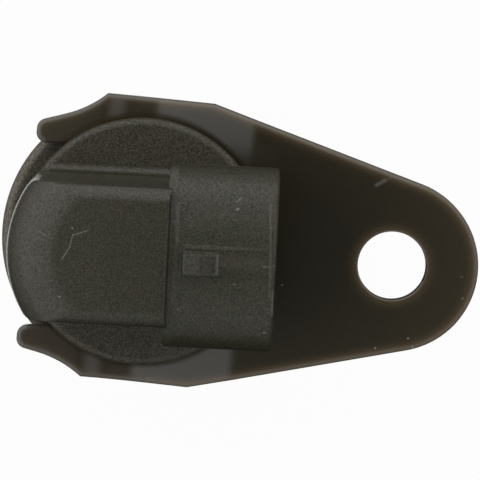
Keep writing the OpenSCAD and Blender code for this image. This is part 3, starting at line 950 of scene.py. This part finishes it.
@dataclass
class Core:
    """The pieces inside the barrel and the ring round it, whose CAD shapes stay as they are.

    Attributes:
        dress: Finish of each CAD node.
    """

    dress: dict[str, Finish] = field(default_factory=lambda: {
        "o_ring": SEAL_RUBBER,
        "nose_cap": NOSE_NYLON,
        "bobbin": NATURAL_NYLON,
        "coil": COPPER_WIRE,
        "coil_tape": FILM_TAPE,
        "pole_piece": TURNED_IRON,
        "magnet": MAGNET_ALLOY,
        "lead_left": COPPER_WIRE,
        "lead_right": COPPER_WIRE,
    })

    def build(self) -> None:
        """Gives each node its finish."""
        made: dict[str, bpy.types.Material] = {}
        for node, finish in self.dress.items():
            if finish.name not in made:
                made[finish.name] = finish.material()
            slots = frame["nodes"][node].data.materials
            slots.clear()
            slots.append(made[finish.name])
            log.info("%s: %s", node, finish.name)


@dataclass
class Studio:
    """White floor, a soft light tent with a dark opening overhead, and the camera. Sizes in millimetres.

    Attributes:
        floor_z: Height of the floor.
        floor_half: Half the floor's side.
        floor_colour: Colour of the floor, sRGB hex.
        bounce_colour: Colour of the light that the floor throws back, sRGB hex.
        floor_glow: Share of plain white in what the camera sees of the floor.
        mirror_glow: Brightness of the far floor in reflections, on the dim side and on the lit side.
        mirror_reach: Distances from the axis where the far floor starts to show in reflections and shows fully.
        spot_mid: Middle of the lit spot on the floor.
        spot_reach: Distances from that middle where the lit spot starts to fade and where it ends.
        dome: Brightness of the tent.
        horizon: Share of that brightness at the tent's foot.
        fade: Height above the foot at which the tent is fully bright, as a share of its radius.
        side: Direction in which the tent is brightest.
        slant: How much brighter the tent is on that side.
        sink: How much lower the tent's foot lies on that side, as a share of its radius.
        opening: Share of the brightness that is left in the opening overhead.
        opening_at: Middle of the opening, as a direction.
        opening_angles: Angles from that middle where the fade starts and ends, in degrees.
        focal: Focal length, in pixels of the frame.
        frame_px: Width of the frame, in pixels.
        sensor: Width of the sensor.
        distance: Distance of the camera from its target.
        target: Point that the camera looks at.
        roll: Turn of the camera round its own axis, in degrees.
        tilt: Lean of the camera away from straight above, in degrees.
        clip: Distances from the camera between which it sees.
    """

    floor_z: float = -30.05
    floor_half: float = 1500.0
    floor_colour: str = "#f2f2f0"
    bounce_colour: str = "#5f5e5b"
    floor_glow: float = 0.95
    mirror_glow: tuple[float, float] = (0.15, 1.05)
    mirror_reach: tuple[float, float] = (5.0, 214.0)
    spot_mid: tuple[float, float, float] = (-14.0, 0.0, 0.0)
    spot_reach: tuple[float, float] = (12.0, 30.0)
    dome: float = 0.89
    horizon: float = 0.87
    fade: float = 0.1
    side: tuple[float, float, float] = (-0.6, 0.8, 0.0)
    slant: float = 0.56
    sink: float = 0.27
    opening: float = 0.01
    opening_at: tuple[float, float, float] = (0.06, -0.02, 0.998)
    opening_angles: tuple[float, float] = (6.4, 24.8)
    focal: float = 4325.8
    frame_px: float = 480.0
    sensor: float = 36.0
    distance: float = 430.0
    target: tuple[float, float, float] = (9.75, 0.56, 5.5)
    roll: float = 2.9
    tilt: float = 4.0
    clip: tuple[float, float] = (10.0, 10000.0)

    def mirror_level(self, tree: Tree) -> Socket:
        """Draws how bright reflections show the floor: a lit spot round the part, dark past it, brighter far off.

        Args:
            tree: Node tree of the floor's material.

        Returns:
            The brightness.
        """
        place = add_node(tree, "ShaderNodeTexCoord").outputs["Object"]
        place = add_node(tree, "ShaderNodeVectorMath", {0: place, 1: FLATTEN}, operation="MULTIPLY").outputs[0]
        away = add_node(tree, "ShaderNodeVectorMath", {0: place}, operation="LENGTH").outputs["Value"]
        far = add_node(tree, "ShaderNodeMapRange", {
            "Value": away, **between(self.mirror_reach, MM),
        }, interpolation_type="SMOOTHSTEP").outputs[0]
        heading = add_node(tree, "ShaderNodeVectorMath", {0: place}, operation="NORMALIZE").outputs[0]
        level = add_node(tree, "ShaderNodeMapRange", {
            "Value": add_node(tree, "ShaderNodeSeparateXYZ", {0: heading}).outputs["Y"],
            "From Min": -1.0, "From Max": 1.0, "To Min": self.mirror_glow[0], "To Max": self.mirror_glow[1],
        }).outputs[0]
        level = add_node(tree, "ShaderNodeMath", {0: far, 1: level}, operation="MULTIPLY").outputs[0]
        away = add_node(tree, "ShaderNodeVectorMath", {0: place, 1: Vector(self.spot_mid) * MM},
                        operation="DISTANCE").outputs["Value"]
        spot = add_node(tree, "ShaderNodeMapRange", {
            "Value": away, **between(self.spot_reach, MM), "To Min": 1.0, "To Max": 0.0,
        }, interpolation_type="SMOOTHSTEP").outputs[0]
        return add_node(tree, "ShaderNodeMath", {0: spot, 1: level}, operation="MAXIMUM").outputs[0]

    def build_floor(self) -> bpy.types.Object:
        """Lays the floor.

        Returns:
            Nothing, since marking the floor as backdrop gives back no value.
        """
        shape = bmesh.new()
        bmesh.ops.create_grid(shape, x_segments=1, y_segments=1, size=self.floor_half * MM)
        bmesh.ops.translate(shape, verts=shape.verts, vec=(0, 0, self.floor_z * MM))
        data = bpy.data.meshes.new("floor")
        shape.to_mesh(data)
        shape.free()
        mat = bpy.data.materials.new("white_floor")
        mat.use_nodes = True
        tree = mat.node_tree
        tree.nodes.remove(tree.nodes["Principled BSDF"])
        path = add_node(tree, "ShaderNodeLightPath").outputs
        colour = add_node(tree, "ShaderNodeMix", {
            0: path["Is Camera Ray"], COLOUR_A: linear(self.bounce_colour), COLOUR_B: linear(self.floor_colour),
        }, data_type="RGBA").outputs[COLOUR_MIX]
        matt = add_node(tree, "ShaderNodeBsdfDiffuse", {"Color": colour}).outputs[0]
        mirror = add_node(tree, "ShaderNodeMath", {0: path["Is Glossy Ray"], 1: path["Is Transmission Ray"]},
                          operation="MAXIMUM").outputs[0]
        level = add_node(tree, "ShaderNodeMix", {0: mirror, VALUE_A: 1.0, VALUE_B: self.mirror_level(tree)},
                         data_type="FLOAT").outputs[0]
        glow = add_node(tree, "ShaderNodeEmission", {"Color": WHITE, "Strength": level}).outputs[0]
        share = add_node(tree, "ShaderNodeMath", {0: path["Is Camera Ray"], 1: self.floor_glow, 2: mirror},
                         operation="MULTIPLY_ADD").outputs[0]
        mix = add_node(tree, "ShaderNodeMixShader", {0: share, 1: matt, 2: glow}).outputs[0]
        tree.links.new(mix, tree.nodes["Material Output"].inputs["Surface"])
        data.materials.append(mat)
        floor = bpy.data.objects.new("floor", data)
        bpy.context.scene.collection.objects.link(floor)
        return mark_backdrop(floor)

    def axes(self) -> tuple[Vector, Vector, Vector]:
        """Gives the camera's directions.

        Returns:
            Right, up and back.
        """
        roll, tilt = math.radians(self.roll), math.radians(self.tilt)
        right = Vector((math.cos(roll), math.sin(roll), 0))
        level = Vector((-math.sin(roll), math.cos(roll), 0))
        up_z = Vector((0, 0, 1))
        up = math.cos(tilt) * level - math.sin(tilt) * up_z
        return right, up, math.cos(tilt) * up_z + math.sin(tilt) * level

    def build_world(self) -> None:
        """Lights the part from a white tent: brighter on one side, dimmer near the floor, dark in its opening."""
        world = bpy.data.worlds.new("light_tent")
        world.use_nodes = True
        bpy.context.scene.world = world
        tree = world.node_tree
        ray = add_node(tree, "ShaderNodeTexCoord").outputs["Generated"]
        middle = Vector(self.opening_at).normalized()
        cosine = add_node(tree, "ShaderNodeVectorMath", {0: ray, 1: middle}, operation="DOT_PRODUCT").outputs["Value"]
        angle = add_node(tree, "ShaderNodeMath", {0: cosine}, operation="ARCCOSINE").outputs[0]
        inner, outer = (math.radians(a) for a in self.opening_angles)
        roof = add_node(tree, "ShaderNodeMapRange", {
            "Value": angle, "From Min": inner, "From Max": outer, "To Min": self.opening, "To Max": 1.0,
        }).outputs[0]
        lean = add_node(tree, "ShaderNodeVectorMath", {0: ray, 1: self.side}, operation="DOT_PRODUCT").outputs["Value"]
        lift = add_node(tree, "ShaderNodeSeparateXYZ", {0: ray}).outputs["Z"]
        lift = add_node(tree, "ShaderNodeMath", {0: lean, 1: self.sink, 2: lift}, operation="MULTIPLY_ADD").outputs[0]
        low = add_node(tree, "ShaderNodeMapRange", {
            "Value": lift, "From Min": 0.0, "From Max": self.fade, "To Min": self.horizon, "To Max": 1.0,
        }, interpolation_type="SMOOTHSTEP").outputs[0]
        lean = add_node(tree, "ShaderNodeMath", {0: lean, 1: self.slant, 2: 1.0}, operation="MULTIPLY_ADD").outputs[0]
        level = roof
        for share in (low, lean, self.dome):
            level = add_node(tree, "ShaderNodeMath", {0: level, 1: share}, operation="MULTIPLY").outputs[0]
        seen = add_node(tree, "ShaderNodeLightPath").outputs["Is Camera Ray"]
        level = add_node(tree, "ShaderNodeMix", {0: seen, VALUE_A: level, VALUE_B: 1.0}, data_type="FLOAT").outputs[0]
        tree.links.new(level, tree.nodes["Background"].inputs["Strength"])
        tree.nodes["Background"].inputs["Color"].default_value = WHITE

    def build_camera(self) -> None:
        """Places the camera almost straight above the part."""
        right, up, back = self.axes()
        turn = Matrix((right, up, back)).transposed().to_4x4()
        spot = (Vector(self.target) + back * self.distance) * MM
        lens = bpy.data.cameras.new("camera")
        lens.sensor_width = self.sensor
        lens.lens = self.focal / self.frame_px * self.sensor
        lens.clip_start, lens.clip_end = (end * MM for end in self.clip)
        camera = bpy.data.objects.new("camera", lens)
        camera.matrix_world = Matrix.Translation(spot) @ turn
        bpy.context.scene.collection.objects.link(camera)
        bpy.context.scene.camera = camera

    def build(self) -> None:
        """Sets up the floor, the light and the camera."""
        self.build_floor()
        self.build_world()
        self.build_camera()
        bpy.context.scene.view_settings.view_transform = "Standard"


def main() -> None:
    """Builds the pieces in order, then the studio."""
    logging.basicConfig(level=logging.INFO, format="%(name)s: %(message)s")
    Housing().build()
    ForkPlate().build()
    Contacts().build()
    Core().build()
    Studio().build()


if __name__ == "__main__":
    main()
